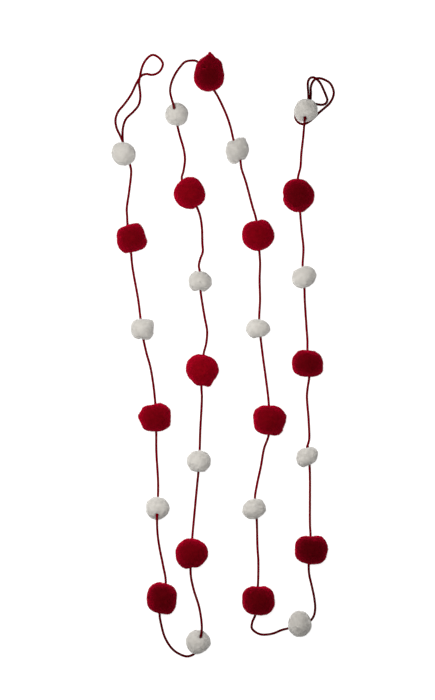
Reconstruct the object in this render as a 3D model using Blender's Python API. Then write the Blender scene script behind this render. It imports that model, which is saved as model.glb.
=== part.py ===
"""Pom-pom garland, laid out on a flat surface as it is shown from above.

One long cord is threaded through 27 yarn pompoms, small white and larger red ones in turn, and
ends in a hanging loop at each end. It lies in four long runs. +Z is up, +Y runs along the runs,
and the origin is on the surface, in the middle of the pompoms' outline.
Every table is in millimetres and degrees, and the model is built in metres.
"""

import math
import random
from collections import namedtuple

import bmesh
import bpy
import numpy as np
from mathutils import Matrix, Vector, kdtree, noise

MM = 0.001

# The cord. It comes down from a raised row over FALL_PER_RISE times its rise, and its bends in
# height are eased over SOFT_BEND steps of LINE_STEP. Its tube has a ring wherever it has turned
# by RING_TURN, and at least every RING_SPACING.
CORD_RADIUS = 1.05
FALL_PER_RISE = 1.7
SHORTEST_FALL = 13.0
SOFT_BEND = 9
LINE_STEP = 1.0
RING_TURN = math.radians(19.0)
RING_SPACING = 34.0

# The clearance between the cord and the yarn around it
SEAT_GAP = 0.3

# The pompoms. The foot is pressed in by FOOT_PRESS and is flat out to FOOT_ANGLE from below.
# The yarn's body lies BODY_INSET inside the outline that its locks reach. The locks are pulled out
# of single faces, no lower than LOWEST_LOCK on a ball of radius 1.
HEIGHT_SHARE = 0.95
BODY_INSET = 0.6
FOOT_PRESS = 0.6
FOOT_ANGLE = math.radians(20.0)
LUMP_HEIGHT = 0.55
LUMP_PITCH = 1.6
LOCKS_EACH = 11
LOCK_RISE = 1.3
LOCK_TIP_SHARE = 0.5
LOCK_SPACING = math.radians(38.0)
LOWEST_LOCK = -0.45
LOCK_CORD_CLEARANCE = 5.5

# width lies across the pompom at the turn given, length is at right angles to it, and the
# corners are the soft bulges in its outline from above, the first of them at corner_turn.
Pompom = namedtuple("Pompom", "name x y width length turn corners corner_rise corner_turn")

POMPOMS = (
    Pompom("white_pompom_01", -111.0, 229.5, 28.0, 28.5, 0, 2, 0.5, 140),
    Pompom("red_pompom_01", -102.0, 132.0, 35.5, 34.5, 0, 4, 1.2, 60),
    Pompom("white_pompom_02", -89.0, 27.5, 27.0, 26.0, 0, 4, 0.9, 42),
    Pompom("red_pompom_02", -75.0, -74.0, 37.5, 35.5, 0, 4, 1.0, 40),
    Pompom("white_pompom_03", -72.0, -178.5, 27.5, 27.0, 0, 3, 0.3, 10),
    Pompom("red_pompom_03", -67.0, -282.0, 36.5, 38.0, 0, 4, 0.8, 40),
    Pompom("white_pompom_04", -25.5, -332.5, 28.0, 28.5, 0, 3, 0.2, 20),
    Pompom("red_pompom_04", -33.0, -230.0, 38.5, 35.5, 0, 3, 0.5, 0),
    Pompom("white_pompom_05", -24.5, -124.5, 27.5, 26.5, 0, 2, 0.2, 0),
    Pompom("red_pompom_05", -21.0, -19.5, 38.0, 37.5, 0, 3, 0.4, 20),
    Pompom("white_pompom_06", -23.0, 82.5, 27.0, 24.5, 0, 3, 0.6, 100),
    Pompom("red_pompom_06", -35.0, 184.0, 37.0, 37.0, 0, 3, 0.3, 80),
    Pompom("white_pompom_07", -50.0, 274.5, 27.0, 27.5, 0, 4, 0.2, 20),
    Pompom("red_pompom_07", -12.5, 319.5, 34.5, 40.0, 0, 3, 0.4, 90),
    Pompom("white_pompom_08", 19.5, 233.0, 32.0, 26.5, 68, 4, 0.4, 60),
    Pompom("red_pompom_08", 43.5, 135.5, 38.0, 36.5, 0, 5, 0.4, 60),
    Pompom("white_pompom_09", 43.5, 28.0, 28.5, 22.5, 0, 3, 0.4, 225),
    Pompom("red_pompom_09", 56.5, -77.0, 38.5, 37.0, 0, 4, 0.8, 35),
    Pompom("white_pompom_10", 39.5, -179.5, 27.5, 24.5, 0, 3, 0.4, 200),
    Pompom("red_pompom_10", 44.0, -284.5, 39.0, 36.0, 0, 4, 0.9, 42),
    Pompom("white_pompom_11", 91.5, -311.5, 27.5, 30.5, 0, 3, 0.3, 100),
    Pompom("red_pompom_11", 104.5, -226.5, 40.5, 35.5, 0, 4, 1.0, 45),
    Pompom("white_pompom_12", 99.7, -119.3, 27.5, 22.0, 28, 4, 0.4, 40),
    Pompom("red_pompom_12", 100.5, -12.0, 37.0, 32.5, 0, 4, 0.6, 30),
    Pompom("white_pompom_13", 96.5, 87.5, 30.0, 25.0, 28, 3, 0.3, 20),
    Pompom("red_pompom_13", 89.5, 181.5, 38.0, 39.0, 0, 3, 0.5, 120),
    Pompom("white_pompom_14", 99.0, 279.5, 27.5, 26.5, 0, 3, 0.2, 80),
)

# Where the yarn of one pompom stands out, or lies in where the rise is negative. The angle is
# in plan, and the lift is the angle above the widest line round the pompom.
Tuft = namedtuple("Tuft", "pompom angle lift rise spread")

TUFTS = (
    Tuft("white_pompom_01", 50, 0, -0.9, 28),
    Tuft("white_pompom_01", 320, 0, 0.4, 18),
    Tuft("red_pompom_01", 125, 0, -0.9, 20),
    Tuft("red_pompom_01", 160, 0, -0.6, 18),
    Tuft("red_pompom_01", 212, 0, 1.3, 24),
    Tuft("white_pompom_02", 40, 0, 0.9, 16),
    Tuft("white_pompom_02", 80, 0, -1.4, 20),
    Tuft("white_pompom_02", 165, 0, 1.2, 26),
    Tuft("red_pompom_02", 181, 5, 2.8, 10),
    Tuft("red_pompom_02", 202, 0, -1.2, 14),
    Tuft("red_pompom_02", 80, 0, 1.0, 12),
    Tuft("red_pompom_02", 113, 0, -3.0, 22),
    Tuft("red_pompom_02", 300, 0, -1.4, 18),
    Tuft("red_pompom_02", 337, 0, 1.8, 20),
    Tuft("red_pompom_03", 52, 0, -1.3, 18),
    Tuft("red_pompom_03", 225, 0, -1.0, 24),
    Tuft("red_pompom_03", 302, 0, 1.5, 17),
    Tuft("white_pompom_04", 302, 0, -1.2, 22),
    Tuft("red_pompom_04", 130, 0, -1.0, 28),
    Tuft("red_pompom_04", 232, 0, 1.2, 20),
    Tuft("red_pompom_05", 302, 0, 2.8, 11),
    Tuft("red_pompom_05", 222, 0, -1.8, 22),
    Tuft("red_pompom_05", 125, 0, 0.8, 16),
    Tuft("red_pompom_05", 152, 0, -0.9, 14),
    Tuft("red_pompom_05", 62, 0, -0.7, 20),
    Tuft("white_pompom_06", 90, 0, -1.5, 18),
    Tuft("white_pompom_06", 145, 0, 1.4, 20),
    Tuft("white_pompom_06", 225, 0, 1.2, 18),
    Tuft("white_pompom_06", 262, 0, -2.6, 14),
    Tuft("white_pompom_06", 287, 0, 1.6, 14),
    Tuft("red_pompom_06", 30, 0, -1.0, 24),
    Tuft("red_pompom_06", 142, 0, -0.8, 20),
    Tuft("red_pompom_07", 87, 4, 7.0, 15),
    Tuft("red_pompom_07", 200, -5, 1.2, 30),
    Tuft("white_pompom_08", 95, 0, -1.2, 18),
    Tuft("white_pompom_08", 197, 0, -1.6, 18),
    Tuft("white_pompom_08", 300, 0, -2.0, 18),
    Tuft("red_pompom_08", 60, 0, 1.4, 16),
    Tuft("red_pompom_08", 118, 0, -1.3, 18),
    Tuft("red_pompom_08", 286, 0, -1.0, 16),
    Tuft("white_pompom_09", 270, 0, -1.0, 18),
    Tuft("white_pompom_09", 325, 0, -1.5, 22),
    Tuft("red_pompom_09", 92, 0, -2.6, 15),
    Tuft("red_pompom_09", 150, 0, 1.2, 16),
    Tuft("red_pompom_09", 195, 0, -1.3, 16),
    Tuft("red_pompom_09", 272, 0, -1.5, 16),
    Tuft("red_pompom_09", 303, 0, 1.4, 15),
    Tuft("white_pompom_10", 312, 0, -3.2, 26),
    Tuft("white_pompom_10", 205, 0, 1.0, 22),
    Tuft("white_pompom_10", 52, 0, 0.8, 18),
    Tuft("red_pompom_10", 160, 0, 1.1, 18),
    Tuft("red_pompom_10", 88, 0, -1.8, 20),
    Tuft("red_pompom_10", 230, 0, -0.8, 18),
    Tuft("red_pompom_11", 0, 0, 0.8, 14),
    Tuft("red_pompom_11", 58, 0, 1.4, 15),
    Tuft("red_pompom_11", 90, 0, -1.0, 14),
    Tuft("red_pompom_11", 235, 0, -1.7, 26),
    Tuft("red_pompom_11", 180, 8, -0.8, 14),
    Tuft("red_pompom_11", 337, 0, -1.5, 14),
    Tuft("white_pompom_12", 310, 0, -1.2, 24),
    Tuft("red_pompom_12", 22, 0, -1.2, 16),
    Tuft("red_pompom_12", 155, 0, 1.2, 18),
    Tuft("red_pompom_12", 328, 0, 2.6, 15),
    Tuft("red_pompom_12", 232, 0, 1.0, 14),
    Tuft("white_pompom_13", 120, 0, -0.6, 24),
    Tuft("red_pompom_13", 45, 0, -0.9, 26),
    Tuft("red_pompom_13", 182, 0, -2.0, 13),
    Tuft("red_pompom_13", 242, 0, -1.2, 22),
    Tuft("red_pompom_13", 284, 0, 2.0, 18),
)

# The cord's route, chosen by hand: x, y and how far its middle is raised above where it lies
# on the surface. A rise of 0 lies flat. The first and last rows are the cord's two ends, which
# are tucked inside the first and the last white pompom, below the strand that goes through.
ROUTE = (
    # The loop at the first end, with one strand over the other
    (-111.5, 238, 7), (-112, 243, 7.5), (-112, 259, 0), (-108.5, 269.5, 0), (-100, 278, 0),
    (-94, 285.5, 0), (-92, 294, 0), (-92.5, 303.5, 0), (-93.5, 311, 0), (-92.5, 317.5, 2.7),
    (-89.5, 330.5, 0), (-84.5, 339, 0), (-78, 343.5, 0), (-71.5, 341, 0), (-66, 333.5, 0),
    (-68.5, 326, 0), (-73, 322, 0), (-79, 320.5, 0), (-85, 321.5, 0), (-90.5, 319.5, 0),
    (-95.5, 312.5, 0), (-102.5, 298, 0), (-110.5, 286.5, 0), (-117.5, 278, 0), (-120.5, 269.5, 0),
    (-119.5, 260, 0), (-115, 250, 0), (-112, 243, 12),
    # The first run, from the first white pompom down to the fourth
    (-104, 217.5, 8), (-102.5, 210.5, 0), (-105, 185, 0), (-107.5, 167, 0), (-107, 156.5, 0),
    (-106.5, 148, 13), (-102.5, 115.5, 12), (-101, 99, 0), (-94.5, 62, 0), (-91.5, 39, 9),
    (-88.5, 17, 8), (-85, 0.5, 0), (-80, -18, 0), (-74.5, -58, 13),
    (-73.5, -90.5, 12), (-73.5, -112.5, 0), (-71.5, -147.5, 0), (-71.5, -166, 9),
    (-72.5, -188, 21), (-72, -207.5, 0), (-70, -223.5, 0), (-66, -243.5, 0), (-62.5, -264.5, 13),
    (-69.5, -299, 12), (-68, -312, 0), (-63.5, -328, 0), (-55.5, -340.5, 0), (-47.5, -346.5, 0),
    (-38.5, -349.5, 0), (-31.5, -347.5, 0), (-27.5, -343.5, 8),
    # The second run, back up to the seventh red pompom
    (-22, -325, 23), (-21, -314.5, 0), (-24, -293.5, 0), (-30.5, -272.5, 0), (-33.5, -258, 0),
    (-34, -246, 13), (-32, -212.5, 13), (-30, -189.5, 0), (-26.5, -152, 0), (-25, -137, 9),
    (-23.5, -112, 9), (-23, -92, 0), (-21, -51, 0), (-21.5, -37.5, 13),
    (-19, -1.5, 13), (-16, 11, 0), (-15, 25.5, 0), (-17.5, 39.5, 0), (-20, 54, 0), (-22.5, 71.5, 9),
    (-23.5, 94.5, 9), (-24.5, 100, 0), (-23, 108, 0), (-20, 116.5, 0), (-20.5, 127, 0),
    (-21, 144.5, 0), (-23, 157.5, 0), (-27, 168.5, 13), (-44, 199.5, 14), (-42, 210, 0),
    (-40.5, 223.5, 0), (-42, 235, 0), (-46.5, 250.5, 0), (-49, 261, 9),
    (-53, 283, 21), (-55.5, 291.5, 0), (-57.5, 301, 0), (-56.5, 309.5, 0), (-53, 319, 0),
    (-47, 328.5, 0), (-40.5, 335, 0), (-34, 336.5, 0), (-26, 335, 14),
    # The third run, down to the tenth red pompom
    (-7.5, 303, 13), (-2.5, 295, 0), (7, 275, 0), (12, 260, 0), (16, 243, 16),
    (23, 223, 16), (24.5, 212.5, 0), (29.5, 197.5, 0), (37, 169.5, 0), (41.5, 153.5, 14),
    (45, 118, 13), (46, 103.5, 0), (45.5, 84, 0), (46, 61, 0), (45, 39, 9),
    (46.5, 18.5, 9), (49.5, -6, 0), (53, -31.5, 0), (56, -59, 13),
    (56, -93.5, 12), (50.5, -110.5, 0), (47, -130.5, 0), (42.5, -151.5, 0), (40, -168, 9),
    (42, -189, 9), (43, -223, 0), (44, -239.5, 0), (43.5, -267.5, 13),
    (40.5, -301, 12), (37, -310, 0), (36.5, -317, 0), (40, -321, 0), (46, -324, 0),
    (52.5, -324.5, 0), (61.5, -323, 0), (71, -319, 0), (80, -316.5, 9),
    # The fourth run, up to the last white pompom
    (102, -309.5, 10), (107.5, -303.5, 0), (109.5, -294.5, 0), (108.5, -282.5, 0),
    (105.5, -268, 0), (102.5, -254.5, 0), (102, -241.5, 12),
    (104, -210.5, 12), (103.5, -198, 0), (103.5, -171.5, 0), (103.5, -145.5, 0), (103, -130.5, 9),
    (100.5, -108, 10), (102.5, -100, 0), (102, -77.5, 0), (100, -49.5, 0), (101, -38.5, 0),
    (102.5, -27.5, 12), (100.5, 3.5, 12), (100.5, 14.5, 0), (99.5, 30, 0), (97.5, 61, 0),
    (97, 75, 9), (95, 99, 9), (96, 121, 0), (94, 140, 0), (92, 162.5, 13),
    (89.5, 200.5, 14), (92.5, 214, 0), (93.5, 229, 0), (95.5, 247, 0), (97.5, 269, 19),
    # The loop at the last end, folded back so that it closes under the last white pompom
    (101.5, 290.5, 11), (101.5, 299.5, 0), (101, 307.5, 0), (101.5, 313.5, 0), (104, 317, 0),
    (108, 317.5, 0), (112, 315, 0), (116, 310, 0), (119.5, 302.5, 0), (122, 296.5, 0),
    (123.5, 291, 0), (121, 287, 0), (116.5, 286, 0), (110, 287, 0), (101, 288.5, 0),
    (93.5, 287, 0), (89, 282, 0), (86.5, 275.5, 0), (87.5, 269, 0), (92, 264.5, 0),
    (97.5, 264, 0), (102.5, 266.5, 0), (107.5, 270.5, 0), (113, 276, 0), (120, 282, 0),
    (126, 287.5, 0), (129.5, 293.5, 0), (131, 299.5, 0), (129.5, 306, 0), (126, 311.5, 0),
    (120, 315, 0), (115, 316.5, 0), (110.5, 316, 2.7), (106.5, 312, 0), (104.5, 306, 0),
    (104.5, 298.5, 0), (104, 290.5, 6), (103.5, 285, 6),
)

RED = (0.165, 0.004, 0.010)
WARM_WHITE = (0.60, 0.57, 0.52)
CORD_RED = (0.105, 0.002, 0.006)


def clear_scene():
    """Remove every object that the file opens with."""
    for obj in list(bpy.data.objects):
        bpy.data.objects.remove(obj, do_unlink=True)


def new_collection(name, hidden=False):
    """A collection in the scene, kept out of renders when it holds cutters."""
    collection = bpy.data.collections.new(name)
    bpy.context.scene.collection.children.link(collection)
    collection.hide_render = hidden
    return collection


def new_material(name, colour, roughness):
    """A Principled material of one colour."""
    material = bpy.data.materials.new(name)
    material.use_nodes = True
    shader = material.node_tree.nodes["Principled BSDF"]
    shader.inputs["Base Color"].default_value = (*colour, 1.0)
    shader.inputs["Roughness"].default_value = roughness
    shader.inputs["Metallic"].default_value = 0.0
    return material


def bend(before, start, end, after, share):
    """A point on the centripetal Catmull-Rom curve from start to end, between its neighbours."""
    first, middle, last = (math.dist(*ends) ** 0.5 for ends in ((before, start), (start, end), (end, after)))
    leave = (start - before) / first - (end - before) / (first + middle) + (end - start) / middle
    arrive = (end - start) / middle - (after - start) / (middle + last) + (after - end) / last
    square = share**2
    cube = share**3
    return (
        (2 * cube - 3 * square + 1) * start
        + (cube - 2 * square + share) * leave * middle
        + (3 * square - 2 * cube) * end
        + (cube - square) * arrive * middle
    )


def plan_line():
    """The route from above as a smooth line, and how far along it each row of the route is."""
    rows = np.array(ROUTE)[:, :2]
    padded = np.vstack([2 * rows[0] - rows[1], rows, 2 * rows[-1] - rows[-2]])
    points = [rows[0]]
    row_index = [0]
    for before, start, end, after in zip(padded, padded[1:], padded[2:], padded[3:]):
        count = max(2, math.ceil(math.dist(start, end) / LINE_STEP))
        points += [bend(before, start, end, after, step / count) for step in range(1, count + 1)]
        row_index.append(len(points) - 1)
    points = np.array(points)
    travelled = np.concatenate([[0.0], np.cumsum(np.linalg.norm(np.diff(points, axis=0), axis=1))])
    return points, travelled, travelled[row_index]


def height_marks(row_travel):
    """Travel and height at each raised row, and where the cord comes down on either side of it."""
    rises = [row[2] for row in ROUTE]
    marks = []
    for index, (travel, rise) in enumerate(zip(row_travel, rises)):
        if rise == 0:
            continue
        fall = max(SHORTEST_FALL, FALL_PER_RISE * rise)
        if index > 0 and rises[index - 1] == 0:
            marks.append((travel - fall, CORD_RADIUS))
        marks.append((travel, CORD_RADIUS + rise))
        if index < len(ROUTE) - 1 and rises[index + 1] == 0:
            marks.append((travel + fall, CORD_RADIUS))
    return marks


def cord_line():
    """The middle of the cord in millimetres, a point every millimetre or so."""
    plan, travelled, row_travel = plan_line()
    even = np.arange(0.0, travelled[-1], LINE_STEP)
    x = np.interp(even, travelled, plan[:, 0])
    y = np.interp(even, travelled, plan[:, 1])
    mark_travel, mark_height = zip(*height_marks(row_travel))
    height = np.interp(even, mark_travel, mark_height)
    padded = np.pad(height, SOFT_BEND // 2, mode="edge")
    eased = np.convolve(padded, np.ones(SOFT_BEND) / SOFT_BEND, "valid")
    return np.column_stack([x, y, eased])


def ring_points(line):
    """The points of the line that carry the tube's rings."""
    kept = [line[0]]
    heading = Vector(line[1] - line[0])
    run = 0.0
    for here, ahead in zip(line[1:-1], line[2:]):
        direction = Vector(ahead - here)
        run += LINE_STEP
        if direction.angle(heading) >= RING_TURN or run >= RING_SPACING:
            kept.append(here)
            heading = direction
            run = 0.0
    kept.append(line[-1])
    return kept


def new_tube(name, points, radius, collection):
    """A round tube with closed ends on a run of straight steps, as a curve object."""
    curve = bpy.data.curves.new(name, "CURVE")
    curve.dimensions = "3D"
    curve.bevel_depth = radius * MM
    curve.bevel_resolution = 2
    curve.use_fill_caps = True
    spline = curve.splines.new("POLY")
    spline.points.add(len(points) - 1)
    for spot, point in zip(spline.points, points):
        spot.co = (*(Vector(point) * MM), 1.0)
    tube = bpy.data.objects.new(name, curve)
    collection.objects.link(tube)
    return tube


def as_mesh(tube, collection):
    """The tube as a closed mesh object of the same name and place, with the curve removed."""
    bpy.context.view_layer.update()
    graph = bpy.context.evaluated_depsgraph_get()
    mesh = bpy.data.meshes.new_from_object(tube.evaluated_get(graph))
    shape = bmesh.new()
    shape.from_mesh(mesh)
    bmesh.ops.remove_doubles(shape, verts=shape.verts, dist=1e-6)
    bmesh.ops.recalc_face_normals(shape, faces=shape.faces)
    shape.to_mesh(mesh)
    shape.free()
    name = tube.name
    place = tube.matrix_world.copy()
    bpy.data.objects.remove(tube, do_unlink=True)
    solid = bpy.data.objects.new(name, mesh)
    solid.matrix_world = place
    collection.objects.link(solid)
    return solid


def make_sleeve(points, collection):
    """The way that the cord takes through the yarn: the cord's own shape with a gap around it."""
    first_step = Vector(points[0] - points[1]).normalized() * SEAT_GAP
    last_step = Vector(points[-1] - points[-2]).normalized() * SEAT_GAP
    longer = [points[0] + np.array(first_step), *points[1:-1], points[-1] + np.array(last_step)]
    tube = new_tube("cord_sleeve", longer, CORD_RADIUS + SEAT_GAP, collection)
    sleeve = as_mesh(tube, collection)
    sleeve.hide_render = True
    sleeve.display_type = "WIRE"
    return sleeve


def aim(angle, lift):
    """The direction at an angle in plan and an angle above the level."""
    angle, lift = math.radians(angle), math.radians(lift)
    return Vector((math.cos(angle) * math.cos(lift), math.sin(angle) * math.cos(lift), math.sin(lift)))


def pompom_height(pompom):
    return HEIGHT_SHARE * (pompom.width + pompom.length) / 2


def skin_point(pompom, direction, seed):
    """Where the yarn ends in a direction from the pompom's middle, in millimetres."""
    plan_angle = math.atan2(direction.y, direction.x)
    plan_share = math.hypot(direction.x, direction.y)
    turn = Matrix.Rotation(math.radians(pompom.turn), 3, "Z")
    local = turn.transposed() @ direction
    half = Vector((pompom.width, pompom.length, pompom_height(pompom))) / 2
    skin = turn @ Vector([share * size for share, size in zip(local, half)])
    corner = math.cos(pompom.corners * (plan_angle - math.radians(pompom.corner_turn)))
    rise = pompom.corner_rise * corner * plan_share**2
    rise += LUMP_HEIGHT * noise.noise(direction * LUMP_PITCH + Vector((seed, 2 * seed, 0)))
    for tuft in TUFTS:
        if tuft.pompom == pompom.name:
            away = direction.angle(aim(tuft.angle, tuft.lift)) / math.radians(tuft.spread)
            rise += tuft.rise * math.exp(-(away**2))
    return skin + direction * (rise - BODY_INSET)


def raise_locks(shape, middle, cord_tree, seed):
    """Pull LOCKS_EACH well parted faces out into short locks of yarn, clear of cord and foot."""
    order = random.Random(seed).sample(list(shape.faces), len(shape.faces))
    roots = []
    chosen = []
    for face in order:
        centre = face.calc_center_median()
        outward = centre.normalized()
        if outward.z < LOWEST_LOCK or any(outward.angle(root) < LOCK_SPACING for root in roots):
            continue
        if cord_tree.find(centre / MM + middle)[2] < LOCK_CORD_CLEARANCE:
            continue
        roots.append(outward)
        chosen.append(face)
        if len(chosen) == LOCKS_EACH:
            break
    for face in chosen:
        push = face.normal * LOCK_RISE * MM
        tip = bmesh.ops.extrude_discrete_faces(shape, faces=[face])["faces"][0]
        centre = tip.calc_center_median()
        bmesh.ops.scale(
            shape,
            vec=(LOCK_TIP_SHARE,) * 3,
            space=Matrix.Translation(-centre),
            verts=tip.verts,
        )
        bmesh.ops.translate(shape, vec=push, verts=tip.verts)


def make_pompom(pompom, seed, cord_tree, sleeve, material, collection):
    """A lumpy ball of yarn with short locks, a flat spot to lie on and a way for the cord."""
    middle = Vector((pompom.x, pompom.y, pompom_height(pompom) / 2 - FOOT_PRESS))
    shape = bmesh.new()
    bmesh.ops.create_icosphere(shape, subdivisions=3, radius=1.0)
    spin = Matrix.Rotation(seed, 3, "Z")
    for vertex in shape.verts:
        direction = (spin @ vertex.co).normalized()
        skin = skin_point(pompom, direction, seed)
        if direction.z < -math.cos(FOOT_ANGLE) or skin.z < -middle.z:
            skin.z = -middle.z
        vertex.co = skin * MM
    shape.normal_update()
    raise_locks(shape, middle, cord_tree, seed)
    bmesh.ops.recalc_face_normals(shape, faces=shape.faces)
    mesh = bpy.data.meshes.new(pompom.name)
    shape.to_mesh(mesh)
    shape.free()
    mesh.materials.append(material)
    mesh.shade_smooth()
    ball = bpy.data.objects.new(pompom.name, mesh)
    ball.location = middle * MM
    collection.objects.link(ball)
    threading = ball.modifiers.new("threaded by the cord", "BOOLEAN")
    threading.operation = "DIFFERENCE"
    threading.solver = "EXACT"
    threading.object = sleeve
    return ball


def main():
    clear_scene()
    parts = new_collection("pompom_garland")
    cutters = new_collection("cutters", hidden=True)
    red_yarn = new_material("red_yarn", RED, 0.9)
    white_yarn = new_material("white_yarn", WARM_WHITE, 0.9)

    line = cord_line()
    points = ring_points(line)
    cord = new_tube("cord", points, CORD_RADIUS, parts)
    cord.data.materials.append(new_material("cord", CORD_RED, 0.6))
    sleeve = make_sleeve(points, cutters)

    cord_tree = kdtree.KDTree(len(line))
    for index, point in enumerate(line):
        cord_tree.insert(point, index)
    cord_tree.balance()

    garland = bpy.data.objects.new("garland", None)
    parts.objects.link(garland)
    cord.parent = garland
    for seed, pompom in enumerate(POMPOMS, start=1):
        yarn = red_yarn if pompom.name.startswith("red") else white_yarn
        ball = make_pompom(pompom, seed, cord_tree, sleeve, yarn, parts)
        ball.parent = garland


main()
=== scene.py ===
"""The pom-pom garland as it looks: balls of dense cut yarn, small warm white and larger deep red
ones in turn, on a thin twisted cord, laid out on a pale surface and seen from straight above.

Everything is in metres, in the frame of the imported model: +Z up, +Y along the garland's runs.
"""

import math

import bmesh
import bpy
import numpy as np
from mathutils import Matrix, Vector, noise
from mathutils.bvhtree import BVHTree
from mathutils.kdtree import KDTree


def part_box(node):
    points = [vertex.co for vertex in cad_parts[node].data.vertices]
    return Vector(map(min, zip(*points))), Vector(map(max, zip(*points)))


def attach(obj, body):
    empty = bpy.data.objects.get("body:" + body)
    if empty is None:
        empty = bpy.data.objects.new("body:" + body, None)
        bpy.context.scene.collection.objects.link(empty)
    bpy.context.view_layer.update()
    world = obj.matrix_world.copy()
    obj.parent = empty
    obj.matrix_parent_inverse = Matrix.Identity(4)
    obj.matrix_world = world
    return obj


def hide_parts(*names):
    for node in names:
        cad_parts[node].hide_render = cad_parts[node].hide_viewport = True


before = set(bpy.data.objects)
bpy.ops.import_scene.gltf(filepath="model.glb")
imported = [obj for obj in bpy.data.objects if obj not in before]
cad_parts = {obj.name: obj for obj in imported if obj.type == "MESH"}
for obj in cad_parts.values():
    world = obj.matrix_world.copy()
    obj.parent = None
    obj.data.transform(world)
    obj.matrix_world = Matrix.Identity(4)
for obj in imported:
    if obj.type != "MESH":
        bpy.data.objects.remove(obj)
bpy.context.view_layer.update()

# The camera looks straight down. PIXEL is the real size of one pixel of the frame at SCALE_LEVEL
# above the floor, and ORIGIN_PIXEL is where the garland's origin lies in it.
FRAME_PIXELS = (435, 700)
PIXEL = 0.00115
SCALE_LEVEL = 0.015
ORIGIN_PIXEL = (220.1, 353.0)
LENS = 300.0
SENSOR = 36.0

# The pale surface and the soft studio light
FLOOR_SIZE = 8.0
FLOOR_GLOW = 0.84
WINDOW = dict(place=(-0.95, 0.65, 1.5), size=1.2, watts=28.5, colour=(1.0, 0.985, 0.96))
FILL = dict(place=(-0.05, 0.05, 0.7), size=0.4, watts=2.7, colour=(1.0, 1.0, 1.0))
SURROUND_STRENGTH = 0.58

# The cord. It comes down from a raised row of its route over FALL_PER_RISE times its rise, and
# its bends in height are eased over SOFT_BEND steps of LINE_STEP. Its plies turn once in
# TWIST_LENGTH, with grooves GROOVE_SHARE of the radius deep between them. Its skin of loose fibres
# is fuller than its firm core, and is raised so that it rests on the surface too.
CORD_RADIUS = 0.00105
CORD_SKIN_RADIUS = 0.0015
FALL_PER_RISE = 1.7
SHORTEST_FALL = 0.013
SOFT_BEND = 9
LINE_STEP = 0.001
RING_STEP = 0.0008
CORD_SIDES = 12
PLIES = 3
TWIST_LENGTH = 0.0085
GROOVE_SHARE = 0.16

# The small knots on the cord, by where they lie in plan: a strand wrapped round the cord
KNOT_PLACES = {"knot_below_red": (0.1004, -0.1078), "knot_last_white": (0.0975, 0.2700)}
KNOT_REACH = 0.0015
KNOT_TURNS = 2.0
KNOT_WRAP_RADIUS = 0.00135
KNOT_STRAND_RADIUS = 0.00075
KNOT_ROUNDING = 0.4
KNOT_RINGS = 48
KNOT_SIDES = 8

# Painted shade: where the cord is coloured darker, in plan, over how far, and by how much
PAINTED_SHADE_PLACES = (
    ((0.112, 0.295), 0.050, 0.75),
    ((-0.045, -0.345), 0.060, 0.65),
    ((0.090, -0.305), 0.060, 0.65),
    ((-0.020, 0.320), 0.045, 0.45),
    ((-0.110, 0.250), 0.050, 0.35),
)
DARKEST_PAINTED_SHADE = 0.1

# Painted light and shade: how much lighter or darker each pompom's yarn is coloured, where light falls
# on it more or less than on the others of its colour
PAINTED_LIGHT_TONES = {
    "red_pompom_01": 1.05, "red_pompom_02": 1.15, "red_pompom_03": 0.62, "red_pompom_04": 0.95,
    "red_pompom_05": 1.6, "red_pompom_06": 1.4, "red_pompom_07": 0.52, "red_pompom_08": 1.25,
    "red_pompom_09": 1.05, "red_pompom_10": 0.66, "red_pompom_11": 0.45, "red_pompom_12": 0.7,
    "red_pompom_13": 0.65, "white_pompom_03": 1.05, "white_pompom_05": 1.04, "white_pompom_06": 0.96,
    "white_pompom_08": 0.9, "white_pompom_09": 1.05, "white_pompom_11": 0.92, "white_pompom_14": 0.93,
}

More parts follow.
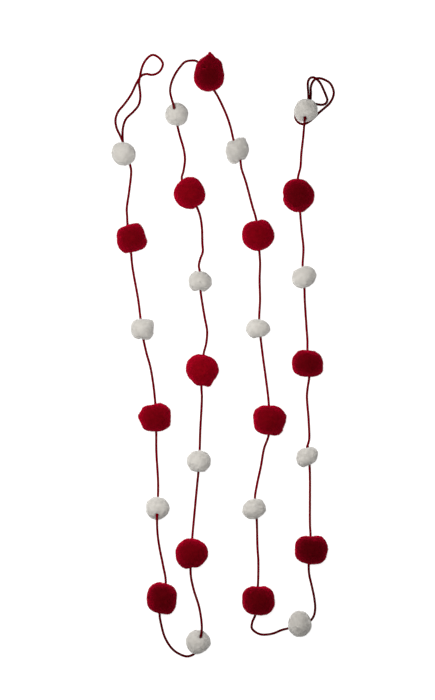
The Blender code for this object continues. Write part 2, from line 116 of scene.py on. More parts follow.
# The small corners, tufts and notches of each pompom's outline: the angle round it in degrees from
# +X, how far the yarn stands out or in there, and over how many degrees it fades. A notch is
# upright: it fades up and down more slowly, by the share NOTCH_FLATTENING.
NOTCH_FLATTENING = 0.4
SMALL_FORMS = {
    "red_pompom_01": ((348, 0.0011, 9), (62, 0.0008, 10), (248, 0.0006, 9), (107, 0.0012, 12)),
    "red_pompom_02": (
        (177, 0.0010, 7), (152, -0.0007, 9), (205, -0.0009, 12), (72, 0.0008, 7), (106, -0.0008, 13),
        (329, 0.0010, 8), (350, -0.0005, 8), (20, 0.0007, 26),
    ),
    "red_pompom_03": ((296, 0.0008, 10), (100, 0.0010, 12)),
    "red_pompom_04": (
        (270, -0.0011, 8), (246, 0.0006, 8), (231, 0.0005, 8), (352, -0.0004, 6), (298, 0.0008, 14),
    ),
    "red_pompom_05": (
        (293, 0.0022, 8), (318, -0.0003, 10), (272, -0.0010, 6), (225, -0.0006, 12), (0, 0.0009, 16),
        (105, 0.0009, 10),
    ),
    "red_pompom_06": ((275, 0.0008, 16),),
    "red_pompom_07": ((88, 0.0036, 4), (44, 0.0023, 23), (135, 0.0025, 24)),
    "red_pompom_08": ((98, -0.0007, 7), (135, 0.0004, 9)),
    "red_pompom_09": ((5, 0.0014, 18), (303, 0.0006, 7), (158, 0.0008, 12)),
    "red_pompom_10": ((68, 0.0008, 14), (345, 0.0009, 16)),
    "red_pompom_12": ((325, 0.0012, 20),),
    "red_pompom_13": ((184, -0.0024, 8), (170, 0.0004, 6), (92, -0.0006, 6)),
    "white_pompom_01": ((92, -0.0009, 16), (135, 0.0005, 10)),
    "white_pompom_02": ((41, 0.0010, 9), (108, -0.0010, 8), (262, -0.0018, 8), (300, 0.0005, 10)),
    "white_pompom_03": ((248, -0.0008, 12), (205, 0.0008, 12)),
    "white_pompom_04": ((346, 0.0013, 14),),
    "white_pompom_05": ((272, -0.0009, 7), (295, 0.0005, 9)),
    "white_pompom_06": ((270, -0.0042, 9), (240, 0.0006, 10), (92, -0.0008, 7), (287, 0.0010, 8)),
    "white_pompom_07": ((270, 0.0008, 16), (122, -0.0008, 12)),
    "white_pompom_08": (
        (57, 0.0014, 9), (75, -0.0005, 7), (105, -0.0011, 12), (135, 0.0006, 9), (291, -0.0032, 9),
    ),
    "white_pompom_09": ((243, 0.0012, 14),),
    "white_pompom_10": ((240, 0.0009, 16),),
    "white_pompom_12": ((75, 0.0014, 10), (92, -0.0013, 9), (198, -0.0012, 16), (252, 0.0013, 12)),
    "white_pompom_13": ((150, 0.0009, 10), (120, -0.0008, 10)),
    "white_pompom_14": ((232, 0.0022, 24), (192, 0.0009, 16)),
}

# Hollows in the yarn's upper side: the angle round the pompom and the angle up in degrees, how deep
# it is, and over how many degrees it fades
HOLLOWS = {"red_pompom_07": ((131, 58, 0.0070, 9),)}

# The body of yarn under the pile, found by casting from CAST_FROM outside its middle: lumps of two
# sizes, each a width and a height, and the dimple that the cord pulls into it
BODY_SUBDIVISIONS = 5
CAST_FROM = 0.06
SMOOTHING_ROUNDS = 2
LUMPS = ((0.0080, 0.00050), (0.0038, 0.00035))
DIMPLE_DEPTH = 0.0016
DIMPLE_RADIUS = 0.0032
BODY_LIFT = 0.0002

# The cut ends of the yarn, which make the pile: they lean together in clumps, whose directions
# CLUMP_SEED sets, and their shading follows the body by the share SOFTNESS, more in the finer red
# yarn
STRANDS_PER_AREA = 1.85e6
STRAND_LENGTH = 0.0012
LENGTH_SPREAD = (0.7, 1.2)
STRAND_RADIUS = 0.00034
RADIUS_SPREAD = (0.75, 1.25)
STRAND_SIDES = 3
ROOT_DEPTH = 0.0004
BODY_REACH = 0.5
BODY_SHADE = 0.5
SOFTNESS = {"red_yarn": 0.8, "white_yarn": 0.5}
CLUMP_SIZE = 0.0042
CLUMP_LEAN = 0.85
CLUMP_SEED = 1
LOOSE_LEAN = 0.22
CORD_CLEARANCE = 0.0016
FOOT_REACH = -0.88
LOWEST_TIP = 0.0001
GOLDEN_TURN = math.pi * (3 - math.sqrt(5))
PLACE_CHANCE = 0.35

# The sizes of the patterns in the finishes: soft patches of colour, the cut ends of single strands,
# the fuzz between them, and the cord's fibres
YARN_PATCH = 0.0045
YARN_END = 0.0003
YARN_FUZZ = 0.0006
CORD_PATCH = 0.060
CORD_FIBRE = 0.0004
CORD_FIBRE_HEIGHT = 0.0001
FLOOR_MOTTLE = 0.05

# The cord's route: x, y and how far its middle is raised above where it lies on the surface
ROUTE = (
    # The loop at the first end, with one strand over the other
    (-0.1115, 0.238, 0.007), (-0.112, 0.243, 0.0075), (-0.112, 0.259, 0), (-0.1085, 0.2695, 0),
    (-0.1, 0.278, 0), (-0.094, 0.2855, 0), (-0.092, 0.294, 0), (-0.0925, 0.3035, 0),
    (-0.0935, 0.311, 0), (-0.0925, 0.3175, 0.0027), (-0.0895, 0.3305, 0), (-0.0845, 0.339, 0),
    (-0.078, 0.3435, 0), (-0.0715, 0.341, 0), (-0.066, 0.3335, 0), (-0.0685, 0.326, 0),
    (-0.073, 0.322, 0), (-0.079, 0.3205, 0), (-0.085, 0.3215, 0), (-0.0905, 0.3195, 0),
    (-0.0955, 0.3125, 0), (-0.1025, 0.298, 0), (-0.1105, 0.2865, 0), (-0.1175, 0.278, 0),
    (-0.1205, 0.2695, 0), (-0.1195, 0.26, 0), (-0.115, 0.25, 0), (-0.112, 0.243, 0.012),
    # The first run, from the first white pompom down to the fourth
    (-0.104, 0.2175, 0.008), (-0.1025, 0.2105, 0), (-0.105, 0.185, 0), (-0.1075, 0.167, 0),
    (-0.107, 0.1565, 0), (-0.1065, 0.148, 0.013), (-0.1025, 0.1155, 0.012), (-0.101, 0.099, 0),
    (-0.0945, 0.062, 0), (-0.0915, 0.039, 0.009), (-0.0885, 0.017, 0.008), (-0.085, 0.0005, 0),
    (-0.08, -0.018, 0), (-0.0745, -0.058, 0.013), (-0.0735, -0.0905, 0.012), (-0.0735, -0.1125, 0),
    (-0.0715, -0.1475, 0), (-0.0715, -0.166, 0.009), (-0.0725, -0.188, 0.021), (-0.072, -0.2075, 0),
    (-0.07, -0.2235, 0), (-0.066, -0.2435, 0), (-0.0625, -0.2645, 0.013), (-0.0695, -0.299, 0.012),
    (-0.068, -0.312, 0), (-0.0635, -0.328, 0), (-0.0555, -0.3405, 0), (-0.0475, -0.3465, 0),
    (-0.0385, -0.3495, 0), (-0.0315, -0.3475, 0), (-0.0275, -0.3435, 0.008),
    # The second run, back up to the seventh red pompom
    (-0.022, -0.325, 0.023), (-0.021, -0.3145, 0), (-0.024, -0.2935, 0), (-0.0305, -0.2725, 0),
    (-0.0335, -0.258, 0), (-0.034, -0.246, 0.013), (-0.032, -0.2125, 0.013), (-0.03, -0.1895, 0),
    (-0.0265, -0.152, 0), (-0.025, -0.137, 0.009), (-0.0235, -0.112, 0.009), (-0.023, -0.092, 0),
    (-0.021, -0.051, 0), (-0.0215, -0.0375, 0.013), (-0.019, -0.0015, 0.013), (-0.016, 0.011, 0),
    (-0.015, 0.0255, 0), (-0.0175, 0.0395, 0), (-0.02, 0.054, 0), (-0.0225, 0.0715, 0.009),
    (-0.0235, 0.0945, 0.009), (-0.0245, 0.1, 0), (-0.023, 0.108, 0), (-0.02, 0.1165, 0),
    (-0.0205, 0.127, 0), (-0.021, 0.1445, 0), (-0.023, 0.1575, 0), (-0.027, 0.1685, 0.013),
    (-0.044, 0.1995, 0.014), (-0.042, 0.21, 0), (-0.0405, 0.2235, 0), (-0.042, 0.235, 0),
    (-0.0465, 0.2505, 0), (-0.049, 0.261, 0.009), (-0.053, 0.283, 0.021), (-0.0555, 0.2915, 0),
    (-0.0575, 0.301, 0), (-0.0565, 0.3095, 0), (-0.053, 0.319, 0), (-0.047, 0.3285, 0),
    (-0.0405, 0.335, 0), (-0.034, 0.3365, 0), (-0.026, 0.335, 0.014),
    # The third run, down to the tenth red pompom
    (-0.0075, 0.303, 0.013), (-0.0025, 0.295, 0), (0.007, 0.275, 0), (0.012, 0.26, 0),
    (0.016, 0.243, 0.016), (0.023, 0.223, 0.016), (0.0245, 0.2125, 0), (0.0295, 0.1975, 0),
    (0.037, 0.1695, 0), (0.0415, 0.1535, 0.014), (0.045, 0.118, 0.013), (0.046, 0.1035, 0),
    (0.0455, 0.084, 0), (0.046, 0.061, 0), (0.045, 0.039, 0.009), (0.0465, 0.0185, 0.009),
    (0.0495, -0.006, 0), (0.053, -0.0315, 0), (0.056, -0.059, 0.013), (0.056, -0.0935, 0.012),
    (0.0505, -0.1105, 0), (0.047, -0.1305, 0), (0.0425, -0.1515, 0), (0.04, -0.168, 0.009),
    (0.042, -0.189, 0.009), (0.043, -0.223, 0), (0.044, -0.2395, 0), (0.0435, -0.2675, 0.013),
    (0.0405, -0.301, 0.012), (0.037, -0.31, 0), (0.0365, -0.317, 0), (0.04, -0.321, 0),
    (0.046, -0.324, 0), (0.0525, -0.3245, 0), (0.0615, -0.323, 0), (0.071, -0.319, 0),
    (0.08, -0.3165, 0.009),
    # The fourth run, up to the last white pompom
    (0.102, -0.3095, 0.01), (0.1075, -0.3035, 0), (0.1095, -0.2945, 0), (0.1085, -0.2825, 0),
    (0.1055, -0.268, 0), (0.1025, -0.2545, 0), (0.102, -0.2415, 0.012), (0.104, -0.2105, 0.012),
    (0.1035, -0.198, 0), (0.1035, -0.1715, 0), (0.1035, -0.1455, 0), (0.103, -0.1305, 0.009),
    (0.1005, -0.108, 0.01), (0.1025, -0.1, 0), (0.102, -0.0775, 0), (0.1, -0.0495, 0),
    (0.101, -0.0385, 0), (0.1025, -0.0275, 0.012), (0.1005, 0.0035, 0.012), (0.1005, 0.0145, 0),
    (0.0995, 0.03, 0), (0.0975, 0.061, 0), (0.097, 0.075, 0.009), (0.095, 0.099, 0.009),
    (0.096, 0.121, 0), (0.094, 0.14, 0), (0.092, 0.1625, 0.013), (0.0895, 0.2005, 0.014),
    (0.0925, 0.214, 0), (0.0935, 0.229, 0), (0.0955, 0.247, 0), (0.0975, 0.269, 0.019),
    # The loop at the last end, folded back so that it closes under the last white pompom
    (0.1015, 0.2905, 0.011), (0.1015, 0.2995, 0), (0.101, 0.3075, 0), (0.1015, 0.3135, 0),
    (0.104, 0.317, 0), (0.108, 0.3175, 0), (0.112, 0.315, 0), (0.116, 0.31, 0), (0.1195, 0.3025, 0),
    (0.122, 0.2965, 0), (0.1235, 0.291, 0), (0.121, 0.287, 0), (0.1165, 0.286, 0), (0.11, 0.287, 0),
    (0.101, 0.2885, 0), (0.0935, 0.287, 0), (0.089, 0.282, 0), (0.0865, 0.2755, 0), (0.0875, 0.269, 0),
    (0.092, 0.2645, 0), (0.0975, 0.264, 0), (0.1025, 0.2665, 0), (0.1075, 0.2705, 0), (0.113, 0.276, 0),
    (0.12, 0.282, 0), (0.126, 0.2875, 0), (0.1295, 0.2935, 0), (0.131, 0.2995, 0), (0.1295, 0.306, 0),
    (0.126, 0.3115, 0), (0.12, 0.315, 0), (0.115, 0.3165, 0), (0.1105, 0.316, 0.0027),
    (0.1065, 0.312, 0), (0.1045, 0.306, 0), (0.1045, 0.2985, 0), (0.104, 0.2905, 0.006),
    (0.1035, 0.285, 0.006),
)


class Wire:
    """An output in a material's node tree. Arithmetic on it adds the Math nodes that it needs."""

    def __init__(self, surface, output):
        self.surface = surface
        self.output = output

    def math(self, operation, first, second):
        return self.surface.add("Math", {"operation": operation}, {0: first, 1: second})

    def __add__(self, other):
        return self.math("ADD", self, other)

    def __sub__(self, other):
        return self.math("SUBTRACT", self, other)

    def __rsub__(self, other):
        return self.math("SUBTRACT", other, self)

    def __mul__(self, other):
        return self.math("MULTIPLY", self, other)


class Surface:
    """A Principled material. The constants are set on the shader's own sockets."""

    def __init__(self, name, constants):
        self.material = bpy.data.materials.new(name)
        self.material.use_nodes = True
        self.tree = self.material.node_tree
        self.shader = self.tree.nodes["Principled BSDF"]
        for socket, value in constants.items():
            self.shader.inputs[socket].default_value = value

    def feed(self, socket, value):
        if isinstance(value, Wire):
            self.tree.links.new(value.output, socket)
        else:
            socket.default_value = value

    def add(self, kind, settings, inputs, output=0):
        """A node of a kind, with its settings set first and then its sockets fed."""
        node = self.tree.nodes.new("ShaderNode" + kind)
        for setting, value in settings.items():
            setattr(node, setting, value)
        for socket, value in inputs.items():
            self.feed(node.inputs[socket], value)
        return Wire(self, node.outputs[output])

    def scaled(self, colour, factor):
        """A colour made lighter or darker by a factor."""
        return self.add("VectorMath", {"operation": "SCALE"}, {0: colour, "Scale": factor})

    def mix(self, factor, first, second):
        """A colour between two colours."""
        colours = {0: factor, 6: first, 7: second}
        return self.add("Mix", {"data_type": "RGBA"}, colours, output=2)

    def attribute(self, name):
        return self.add("Attribute", {"attribute_name": name}, {}, output="Fac")

    def grain(self, size, detail):
        """Noise from 0 to 1 with lumps of about a size in metres."""
        place = self.add("TexCoord", {}, {}, output="Object")
        sockets = {"Vector": place, "Scale": 1.0 / size, "Detail": detail}
        return self.add("TexNoise", {}, sockets)

    def cells(self, size):
        """Small cells of about a size in metres: 0 in the middle of each, and rising outwards."""
        place = self.add("TexCoord", {}, {}, output="Object")
        return self.add("TexVoronoi", {"feature": "F1"}, {"Vector": place, "Scale": 1.0 / size})

    def bump(self, height, distance, strength):
        sockets = {"Height": height, "Distance": distance, "Strength": strength}
        return self.add("Bump", {}, sockets)

    def finish(self, inputs):
        for socket, value in inputs.items():
            self.feed(self.shader.inputs[socket], value)
        return self.material


def yarn_finish(name, root, pile, tip, sheen_tint, sheen, grain):
    """Cut yarn: painted shade deep between the strands and their cut ends, painted light on the lighter
    tips, soft patches, each pompom's painted light and shade, and a velvet sheen.
    """
    constants = {
        "Roughness": 0.85,
        "Specular IOR Level": 0.015,
        "Sheen Weight": sheen,
        "Sheen Roughness": 0.5,
        "Sheen Tint": (*sheen_tint, 1.0),
    }
    surface = Surface(name, constants)
    reach = surface.attribute("reach")
    shade = surface.attribute("shade")
    patches = surface.grain(YARN_PATCH, 2.0)
    ends = surface.cells(YARN_END)
    # Painted shade: darker deep in the pile towards the roots, and between the cut ends by the share
    # grain.
    depth = reach * 0.7 + shade * 0.15 + (0.5 - ends) * grain
    body = surface.mix(depth, (*root, 1.0), (*pile, 1.0))
    # Painted light: lighter towards the strand tips, with soft random patches.
    lift = (patches * 1.1 - 0.2 + (shade - 0.5) * 0.2) * reach
    # Each pompom's colour is scaled by its painted light and shade.
    colour = surface.scaled(surface.mix(lift, body, (*tip, 1.0)), surface.attribute("painted_light_and_shade"))
    fuzz = surface.grain(YARN_FUZZ, 3.0) - ends * 0.7
    return surface.finish({"Base Color": colour, "Normal": surface.bump(fuzz, YARN_END, 0.6)})


def cord_finish():
    """Smooth twisted cord: deep red, with painted shade near black in the grooves between its plies."""
    surface = Surface("twisted_cord", {"Specular IOR Level": 0.0})
    crown = surface.attribute("crown")
    patches = surface.grain(CORD_PATCH, 2.0)
    fibre = surface.grain(CORD_FIBRE, 3.0)
    deep_red = (0.092, 0.0001, 0.0018, 1.0)
    light_red = (0.168, 0.0002, 0.0040, 1.0)
    ply = surface.mix(patches * 1.6 - 0.3, deep_red, light_red)
    # Painted shade: near black in the grooves between the plies, deep red on their crowns.
    groove_shaded = surface.mix(crown * 0.5 + 0.5, (0.010, 0.0001, 0.0003, 1.0), ply)
    # The cord's colour is darkened in its stretches of painted shade.
    colour = surface.scaled(groove_shaded, surface.attribute("painted_light_and_shade"))
    inputs = {
        "Base Color": colour,
        "Roughness": fibre * 0.2 + 0.45,
        "Normal": surface.bump(fibre, CORD_FIBRE_HEIGHT, 0.4),
    }
    return surface.finish(inputs)


def floor_finish():
    """A plain pale surface with the faintest mottling."""
    constants = {
        "Roughness": 0.9,
        "Specular IOR Level": 0.1,
        "Emission Color": (1.0, 1.0, 1.0, 1.0),
        "Emission Strength": FLOOR_GLOW,
    }
    surface = Surface("pale_surface", constants)
    mottling = surface.grain(FLOOR_MOTTLE, 2.0)
    colour = surface.mix(mottling, (0.34, 0.34, 0.335, 1.0), (0.36, 0.36, 0.355, 1.0))
    return surface.finish({"Base Color": colour})


def add_camera():
    """A camera straight above, as far off as its long lens needs for the frame's height."""
    settings = bpy.data.cameras.new("camera")
    settings.lens = LENS
    settings.sensor_width = SENSOR
    height = FRAME_PIXELS[1] * PIXEL * LENS / SENSOR + SCALE_LEVEL
    settings.clip_end = 4 * height
    camera = bpy.data.objects.new("camera", settings)
    right = (FRAME_PIXELS[0] / 2 - ORIGIN_PIXEL[0]) * PIXEL
    up = (ORIGIN_PIXEL[1] - FRAME_PIXELS[1] / 2) * PIXEL
    camera.location = (right, up, height)
    bpy.context.scene.collection.objects.link(camera)
    bpy.context.scene.camera = camera


def add_light(name, place, size, watts, colour):
    """A square soft light at a place, turned to the middle of the garland."""
    lamp = bpy.data.lights.new(name, "AREA")
    lamp.size = size
    lamp.energy = watts
    lamp.color = colour
    light = bpy.data.objects.new(name, lamp)
    light.location = place
    light.rotation_euler = Vector(place).to_track_quat("Z", "Y").to_euler()
    bpy.context.scene.collection.objects.link(light)


def add_studio():
    """The pale floor, a pale surround, and soft light that comes mostly from the upper left."""
    world = bpy.data.worlds.new("pale_surround")
    world.use_nodes = True
    background = world.node_tree.nodes["Background"]
    background.inputs["Color"].default_value = (1.0, 1.0, 1.0, 1.0)
    background.inputs["Strength"].default_value = SURROUND_STRENGTH
    bpy.context.scene.world = world
    bpy.context.scene.view_settings.view_transform = "Standard"
    add_light("window_light", **WINDOW)
    add_light("fill_light", **FILL)

    shape = bmesh.new()
    bmesh.ops.create_grid(shape, x_segments=1, y_segments=1, size=FLOOR_SIZE / 2)
    floor = new_piece("floor", shape, floor_finish())


def new_piece(name, shape, material):
    """An object at the origin made from a bmesh, which is freed."""
    mesh = bpy.data.meshes.new(name)
    shape.to_mesh(mesh)
    shape.free()
    mesh.materials.append(material)
    piece = bpy.data.objects.new(name, mesh)
    bpy.context.scene.collection.objects.link(piece)
    return piece


def bend(before, start, end, after, share):
    """A point on the centripetal Catmull-Rom curve from start to end, between its neighbours."""
    stretches = ((before, start), (start, end), (end, after))
    first, middle, last = (math.dist(*ends) ** 0.5 for ends in stretches)
    leave = (start - before) / first - (end - before) / (first + middle) + (end - start) / middle
    arrive = (end - start) / middle - (after - start) / (middle + last) + (after - end) / last
    square = share**2
    cube = share**3
    return (
        (2 * cube - 3 * square + 1) * start
        + (cube - 2 * square + share) * leave * middle
        + (3 * square - 2 * cube) * end
        + (cube - square) * arrive * middle
    )


def unit(vectors):
    """Vectors made one long."""
    return vectors / np.linalg.norm(vectors, axis=-1, keepdims=True)


def travel_along(points):
    """How far along a line each of its points is."""
    steps = np.linalg.norm(np.diff(points, axis=0), axis=1)
    return np.concatenate([[0.0], np.cumsum(steps)])


def plan_line():
    """The route from above as a smooth line, and how far along it each row of the route is."""
    rows = np.array(ROUTE)[:, :2]
    padded = np.vstack([2 * rows[0] - rows[1], rows, 2 * rows[-1] - rows[-2]])
    points = [rows[0]]
    row_index = [0]
    for before, start, end, after in zip(padded, padded[1:], padded[2:], padded[3:]):
        count = max(2, math.ceil(math.dist(start, end) / LINE_STEP))
        points += [bend(before, start, end, after, step / count) for step in range(1, count + 1)]
        row_index.append(len(points) - 1)
    travelled = travel_along(np.array(points))
    return np.array(points), travelled, travelled[row_index]


def height_marks(row_travel):
    """Travel and height at each raised row, and where the cord comes down on either side of it."""
    rises = [row[2] for row in ROUTE]
    marks = []
    for index, (travel, rise) in enumerate(zip(row_travel, rises)):
        if rise == 0:
            continue
        fall = max(SHORTEST_FALL, FALL_PER_RISE * rise)
        if index > 0 and rises[index - 1] == 0:
            marks.append((travel - fall, CORD_RADIUS))
        marks.append((travel, CORD_RADIUS + rise))
        if index < len(ROUTE) - 1 and rises[index + 1] == 0:
            marks.append((travel + fall, CORD_RADIUS))
    return marks


def cord_line():
    """The middle of the cord, a point for each RING_STEP of its way."""
    plan, travelled, row_travel = plan_line()
    even = np.arange(0.0, travelled[-1], LINE_STEP)
    mark_travel, mark_height = zip(*height_marks(row_travel))
    height = np.interp(even, mark_travel, mark_height)
    padded = np.pad(height, SOFT_BEND // 2, mode="edge")
    eased = np.convolve(padded, np.ones(SOFT_BEND) / SOFT_BEND, "valid")
    rings = np.arange(0.0, even[-1], RING_STEP)
    x = np.interp(rings, travelled, plan[:, 0])
    y = np.interp(rings, travelled, plan[:, 1])
    return np.column_stack([x, y, np.interp(rings, even, eased)])


def carried_across(line):
    """Two directions across each point of a line, which turn as little as they can along it."""
    ahead = unit(np.gradient(line, axis=0))
    side = np.cross(ahead[0], (0.0, 0.0, 1.0))
    sides = []
    for direction in ahead:
        side = side - direction * side.dot(direction)
        side = side / np.linalg.norm(side)
        sides.append(side)
    sides = np.array(sides)
    return sides, np.cross(ahead, sides)


def painted_cord_shade(point):
    """How light the cord's colour is at a point under painted shade: 1, or less near the shaded places.
    """
    dark = sum(
        depth * math.exp(-((math.dist(point[:2], place) / reach) ** 2))
        for place, reach, depth in PAINTED_SHADE_PLACES
    )
    return max(DARKEST_PAINTED_SHADE, 1.0 - dark)


def twisted_tube(name, line, radius, sides, material):
    """A tube of twisted plies along a line: a flat grid rolled up, welded and closed at its ends."""
    shape = bmesh.new()
    bmesh.ops.create_grid(shape, x_segments=sides, y_segments=len(line) - 1, size=0.5)
    crown_layer = shape.verts.layers.float.new("crown")
    painted_shade_layer = shape.verts.layers.float.new("painted_light_and_shade")
    travelled = travel_along(line)
    side, up = carried_across(line)
    for vertex in shape.verts:
        angle = 2 * math.pi * (vertex.co.x + 0.5)
        ring = round((vertex.co.y + 0.5) * (len(line) - 1))
        ply_turn = PLIES * (angle - 2 * math.pi * travelled[ring] / TWIST_LENGTH)
        crown = abs(math.cos(ply_turn / 2))
        reach = radius * (1 - GROOVE_SHARE * (1 - crown))
        across = side[ring] * math.cos(angle) + up[ring] * math.sin(angle)
        vertex.co = line[ring] + across * reach
        vertex[crown_layer] = crown
        # Painted shade along the cord, by place
        vertex[painted_shade_layer] = painted_cord_shade(line[ring])
    bmesh.ops.remove_doubles(shape, verts=shape.verts, dist=radius / 100)
    bmesh.ops.holes_fill(shape, edges=shape.edges, sides=sides)
    bmesh.ops.recalc_face_normals(shape, faces=shape.faces)
    for face in shape.faces:
        face.smooth = True
    return new_piece(name, shape, material)


def knot_line(cord, place):
    """A strand's way round the cord at a place in plan."""
    nearest = int(np.argmin(np.linalg.norm(cord[:, :2] - place, axis=1)))
    side, up = carried_across(cord[nearest - 2 : nearest + 3])
    ahead = cord[nearest + 1] - cord[nearest - 1]
    ahead /= np.linalg.norm(ahead)
    points = []
    for share in np.linspace(0.0, 1.0, KNOT_RINGS):
        turn = 2 * math.pi * KNOT_TURNS * share
        out = KNOT_WRAP_RADIUS * math.sin(math.pi * share) ** KNOT_ROUNDING
        along = KNOT_REACH * (2 * share - 1)
        across = side[2] * math.cos(turn) + up[2] * math.sin(turn)
        points.append(cord[nearest] + ahead * along + across * out)
    return np.array(points)


def add_cord(line):
    """The cord from end to end, with its knots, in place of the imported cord."""
    material = cord_finish()
    raised = line + (0.0, 0.0, CORD_SKIN_RADIUS - CORD_RADIUS)
    cord = twisted_tube("garland_cord", raised, CORD_SKIN_RADIUS, CORD_SIDES, material)
    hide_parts("cord")
    knots = []
    for name, place in KNOT_PLACES.items():
        knot = twisted_tube(name, knot_line(raised, place), KNOT_STRAND_RADIUS, KNOT_SIDES, material)
        knots.append(knot)
    for piece in (cord, *knots):
        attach(piece, "root")


def nearest_points(line):
    """A tree that finds how far a place is from the cord's middle."""
    tree = KDTree(len(line))
    for index, point in enumerate(line):
        tree.insert(point, index)
    tree.balance()
    return tree


def seen_from_outside(tree, middle, direction):
    """Where a line from outside straight to the middle first meets a surface, and its normal."""
    start = middle + direction * CAST_FROM
    return tree.ray_cast(start, -direction)[:2]


def aim_at(turn, lift):
    """A direction at an angle round from +X and an angle up, both in degrees."""
    turn = math.radians(turn)
    lift = math.radians(lift)
    level = math.cos(lift)
    return Vector((math.cos(turn) * level, math.sin(turn) * level, math.sin(lift)))


def fade(direction, aim, spread):
    """How much of a form is left at a direction: 1 at its aim, and fading over some degrees."""
    return math.exp(-((math.degrees(direction.angle(aim)) / spread) ** 2))


def small_form(node, direction):
    """How far a pompom's corners, tufts, upright notches and hollows move its yarn in a direction."""
    rise = 0.0
    for turn, height, spread in SMALL_FORMS.get(node, ()):
        seen = Vector((direction.x, direction.y, direction.z * (NOTCH_FLATTENING if height < 0 else 1)))
        rise += height * fade(seen, aim_at(turn, 0), spread)
    for turn, lift, depth, spread in HOLLOWS.get(node, ()):
        rise -= depth * fade(direction, aim_at(turn, lift), spread)
    return rise


def yarn_body(node, middle, cord_tree):
    """The pompom's body as a bmesh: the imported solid's skin, softened, with lumps and dimples."""
    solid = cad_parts[node]
    skin = BVHTree.FromPolygons(
        [solid.matrix_world @ vertex.co for vertex in solid.data.vertices],
        [tuple(face.vertices) for face in solid.data.polygons],
    )
    shape = bmesh.new()
    bmesh.ops.create_icosphere(shape, subdivisions=BODY_SUBDIVISIONS, radius=1.0)
    for vertex in shape.verts:
        vertex.co = seen_from_outside(skin, middle, vertex.co.normalized())[0]
    for _ in range(SMOOTHING_ROUNDS):
        bmesh.ops.smooth_vert(
            shape, verts=shape.verts, factor=0.5, use_axis_x=True, use_axis_y=True, use_axis_z=True
        )
    shape.normal_update()
    for vertex in shape.verts:
        outward = vertex.co - middle
        rise = sum(height * noise.noise(vertex.co / width) for width, height in LUMPS)
        away = cord_tree.find(vertex.co)[2] / DIMPLE_RADIUS
        rise -= DIMPLE_DEPTH * math.exp(-(away**2))
        vertex.co += vertex.normal * rise + outward.normalized() * small_form(node, outward)
        vertex.co.z = max(vertex.co.z, BODY_LIFT)
    return shape


def even_directions(count, chance):
    """Directions spread evenly over a ball, each moved a little by chance."""
    index = np.arange(count) + 0.5
    height = 1 - 2 * index / count
    level = np.sqrt(1 - height**2)
    turn = GOLDEN_TURN * index
    spots = np.column_stack([level * np.cos(turn), level * np.sin(turn), height])
    spots += chance.normal(0.0, PLACE_CHANCE / math.sqrt(count), spots.shape)
    return unit(spots)


def as_arrays(shape):
    """A bmesh's corners, the ways that they face and its faces, as arrays. The bmesh is freed."""
    corners = np.array([vertex.co[:] for vertex in shape.verts])
    facing = np.array([vertex.normal[:] for vertex in shape.verts])
    faces = np.array([[vertex.index for vertex in face.verts] for face in shape.faces])
    shape.free()
    return corners, facing, faces


def strand_template():
    """The corners and faces of one straight strand, a closed spike from z 0 to 1, radius 1."""
    shape = bmesh.new()
    bmesh.ops.create_cone(
        shape, cap_ends=True, segments=STRAND_SIDES, radius1=1.0, radius2=0.0, depth=1.0
    )
    bmesh.ops.remove_doubles(shape, verts=shape.verts, dist=0.001)
    bmesh.ops.translate(shape, verts=shape.verts, vec=(0.0, 0.0, 0.5))
    bmesh.ops.recalc_face_normals(shape, faces=shape.faces)
    corners, _, faces = as_arrays(shape)
    return corners, faces


def strand_places(body, middle, cord_tree, chance):
    """The root and the tip of each strand on a pompom's body, and the body's normal there."""
    skin = BVHTree.FromBMesh(body)
    area = sum(face.calc_area() for face in body.faces)
    roots = []
    tips = []
    normals = []
    for direction in even_directions(int(area * STRANDS_PER_AREA), chance):
        direction = Vector(direction)
        loose = Vector(chance.normal(0.0, LOOSE_LEAN, 3))
        length = STRAND_LENGTH * chance.uniform(*LENGTH_SPREAD)
        if direction.z < FOOT_REACH:
            continue
        place, normal = seen_from_outside(skin, middle, direction)
        lean = noise.noise_vector(place / CLUMP_SIZE) * CLUMP_LEAN
        aim = (normal + lean + loose).normalized()
        root = place - normal * ROOT_DEPTH
        tip = root + aim * (length + ROOT_DEPTH)
        tip.z = max(tip.z, LOWEST_TIP)
        if min(cord_tree.find(place)[2], cord_tree.find(tip)[2]) < CORD_CLEARANCE:
            continue
        roots.append(root)
        tips.append(tip)
        normals.append(normal)
    return np.array(roots), np.array(tips), np.array(normals)


def grown_strands(roots, tips, corners, chance):
    """The corners of a strand from each root to its tip, and the ways that they face."""
    ahead = tips - roots
    side = unit(np.cross(ahead, chance.normal(0.0, 1.0, ahead.shape)))
    up = unit(np.cross(ahead, side))
    radius = STRAND_RADIUS * chance.uniform(*RADIUS_SPREAD, len(roots))
    spread = side[:, None] * corners[None, :, :1] + up[:, None] * corners[None, :, 1:2]
    strands = roots[:, None] + spread * radius[:, None, None] + ahead[:, None] * corners[None, :, 2:]
    facing = spread + unit(ahead)[:, None] * corners[None, :, 2:]
    return strands, facing


def yarn_mesh(name, corners, faces, normals, values):
    """A smooth mesh from arrays, with its own normals and a value at each corner for each name."""
    mesh = bpy.data.meshes.new(name)
    mesh.from_pydata(corners.tolist(), [], faces.tolist())
    for attribute, value in values.items():
        mesh.attributes.new(attribute, "FLOAT", "POINT").data.foreach_set("value", value)
    mesh.shade_smooth()
    mesh.normals_split_custom_set_from_vertices(normals)
    return mesh


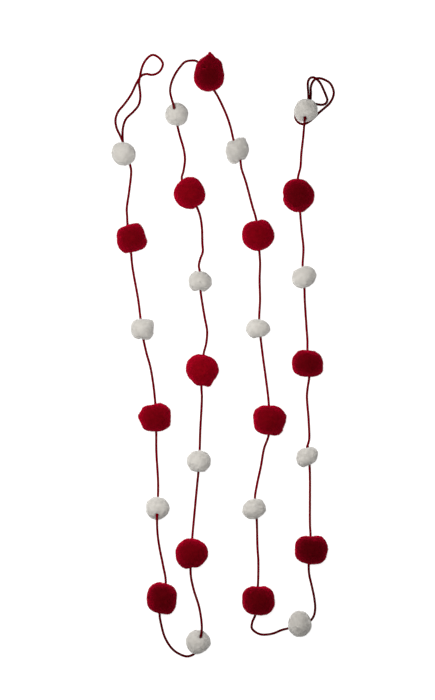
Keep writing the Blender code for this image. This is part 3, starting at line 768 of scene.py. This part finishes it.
def add_pompom(node, slot, material, template, cord_tree, seed):
    """A ball of dense cut yarn in place of a packed pompom."""
    chance = np.random.default_rng(seed)
    low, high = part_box(node)
    middle = (Vector(low) + Vector(high)) / 2
    body = yarn_body(node, middle, cord_tree)
    roots, tips, normals = strand_places(body, middle, cord_tree, chance)
    bmesh.ops.triangulate(body, faces=body.faces)
    body.normal_update()
    body_corners, body_normals, body_faces = as_arrays(body)

    corners, faces = template
    strands, facing = grown_strands(roots, tips, corners, chance)
    shade = chance.uniform(0.0, 1.0, len(roots))
    body_count = len(body_corners)
    first_corners = body_count + len(corners) * np.arange(len(roots))
    strand_faces = faces[None] + first_corners[:, None, None]
    softness = SOFTNESS[slot]
    soft = unit(normals[:, None] * softness + facing * (1 - softness))

    every_corner = np.vstack([body_corners, strands.reshape(-1, 3)])
    every_corner[:, 2] = np.maximum(every_corner[:, 2], LOWEST_TIP)
    every_face = np.vstack([body_faces, strand_faces.reshape(-1, 3)])
    every_normal = np.vstack([body_normals, soft.reshape(-1, 3)])
    values = {
        "reach": np.concatenate([np.full(body_count, BODY_REACH), np.tile(corners[:, 2], len(roots))]),
        "shade": np.concatenate([np.full(body_count, BODY_SHADE), np.repeat(shade, len(corners))]),
        # Each pompom's painted light and shade
        "painted_light_and_shade": np.full(len(every_corner), PAINTED_LIGHT_TONES.get(node, 1.0)),
    }
    mesh = yarn_mesh(node + "_yarn", every_corner, every_face, every_normal, values)
    mesh.materials.append(material)
    piece = bpy.data.objects.new(node + "_yarn", mesh)
    bpy.context.scene.collection.objects.link(piece)
    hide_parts(node)
    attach(piece, "root")


def main():
    """The camera and the cord first, then the pompoms with their two finishes, and the studio."""
    add_camera()
    line = cord_line()
    add_cord(line)
    cord_tree = nearest_points(line)
    template = strand_template()
    # The root colour is painted shade deep in the pile and the tip colour painted light; grain is how
    # much painted shade lies between the cut ends.
    red = yarn_finish(
        "deep_red_pile",
        root=(0.062, 0.0002, 0.0014),
        pile=(0.102, 0.0003, 0.0022),
        tip=(0.170, 0.0005, 0.0052),
        sheen_tint=(1.0, 0.002, 0.048),
        sheen=0.85,
        grain=0.5,
    )
    white = yarn_finish(
        "warm_white_pile",
        root=(0.31, 0.290, 0.265),
        pile=(0.510, 0.495, 0.460),
        tip=(0.67, 0.660, 0.630),
        sheen_tint=(1.0, 0.98, 0.95),
        sheen=1.0,
        grain=0.7,
    )
    finishes = {"red_yarn": red, "white_yarn": white}
    pompoms = sorted(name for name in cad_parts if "pompom" in name)
    noise.seed_set(CLUMP_SEED)
    for seed, node in enumerate(pompoms, start=1):
        slot = node.split("_")[0] + "_yarn"
        add_pompom(node, slot, finishes[slot], template, cord_tree, seed)
    add_studio()


main()
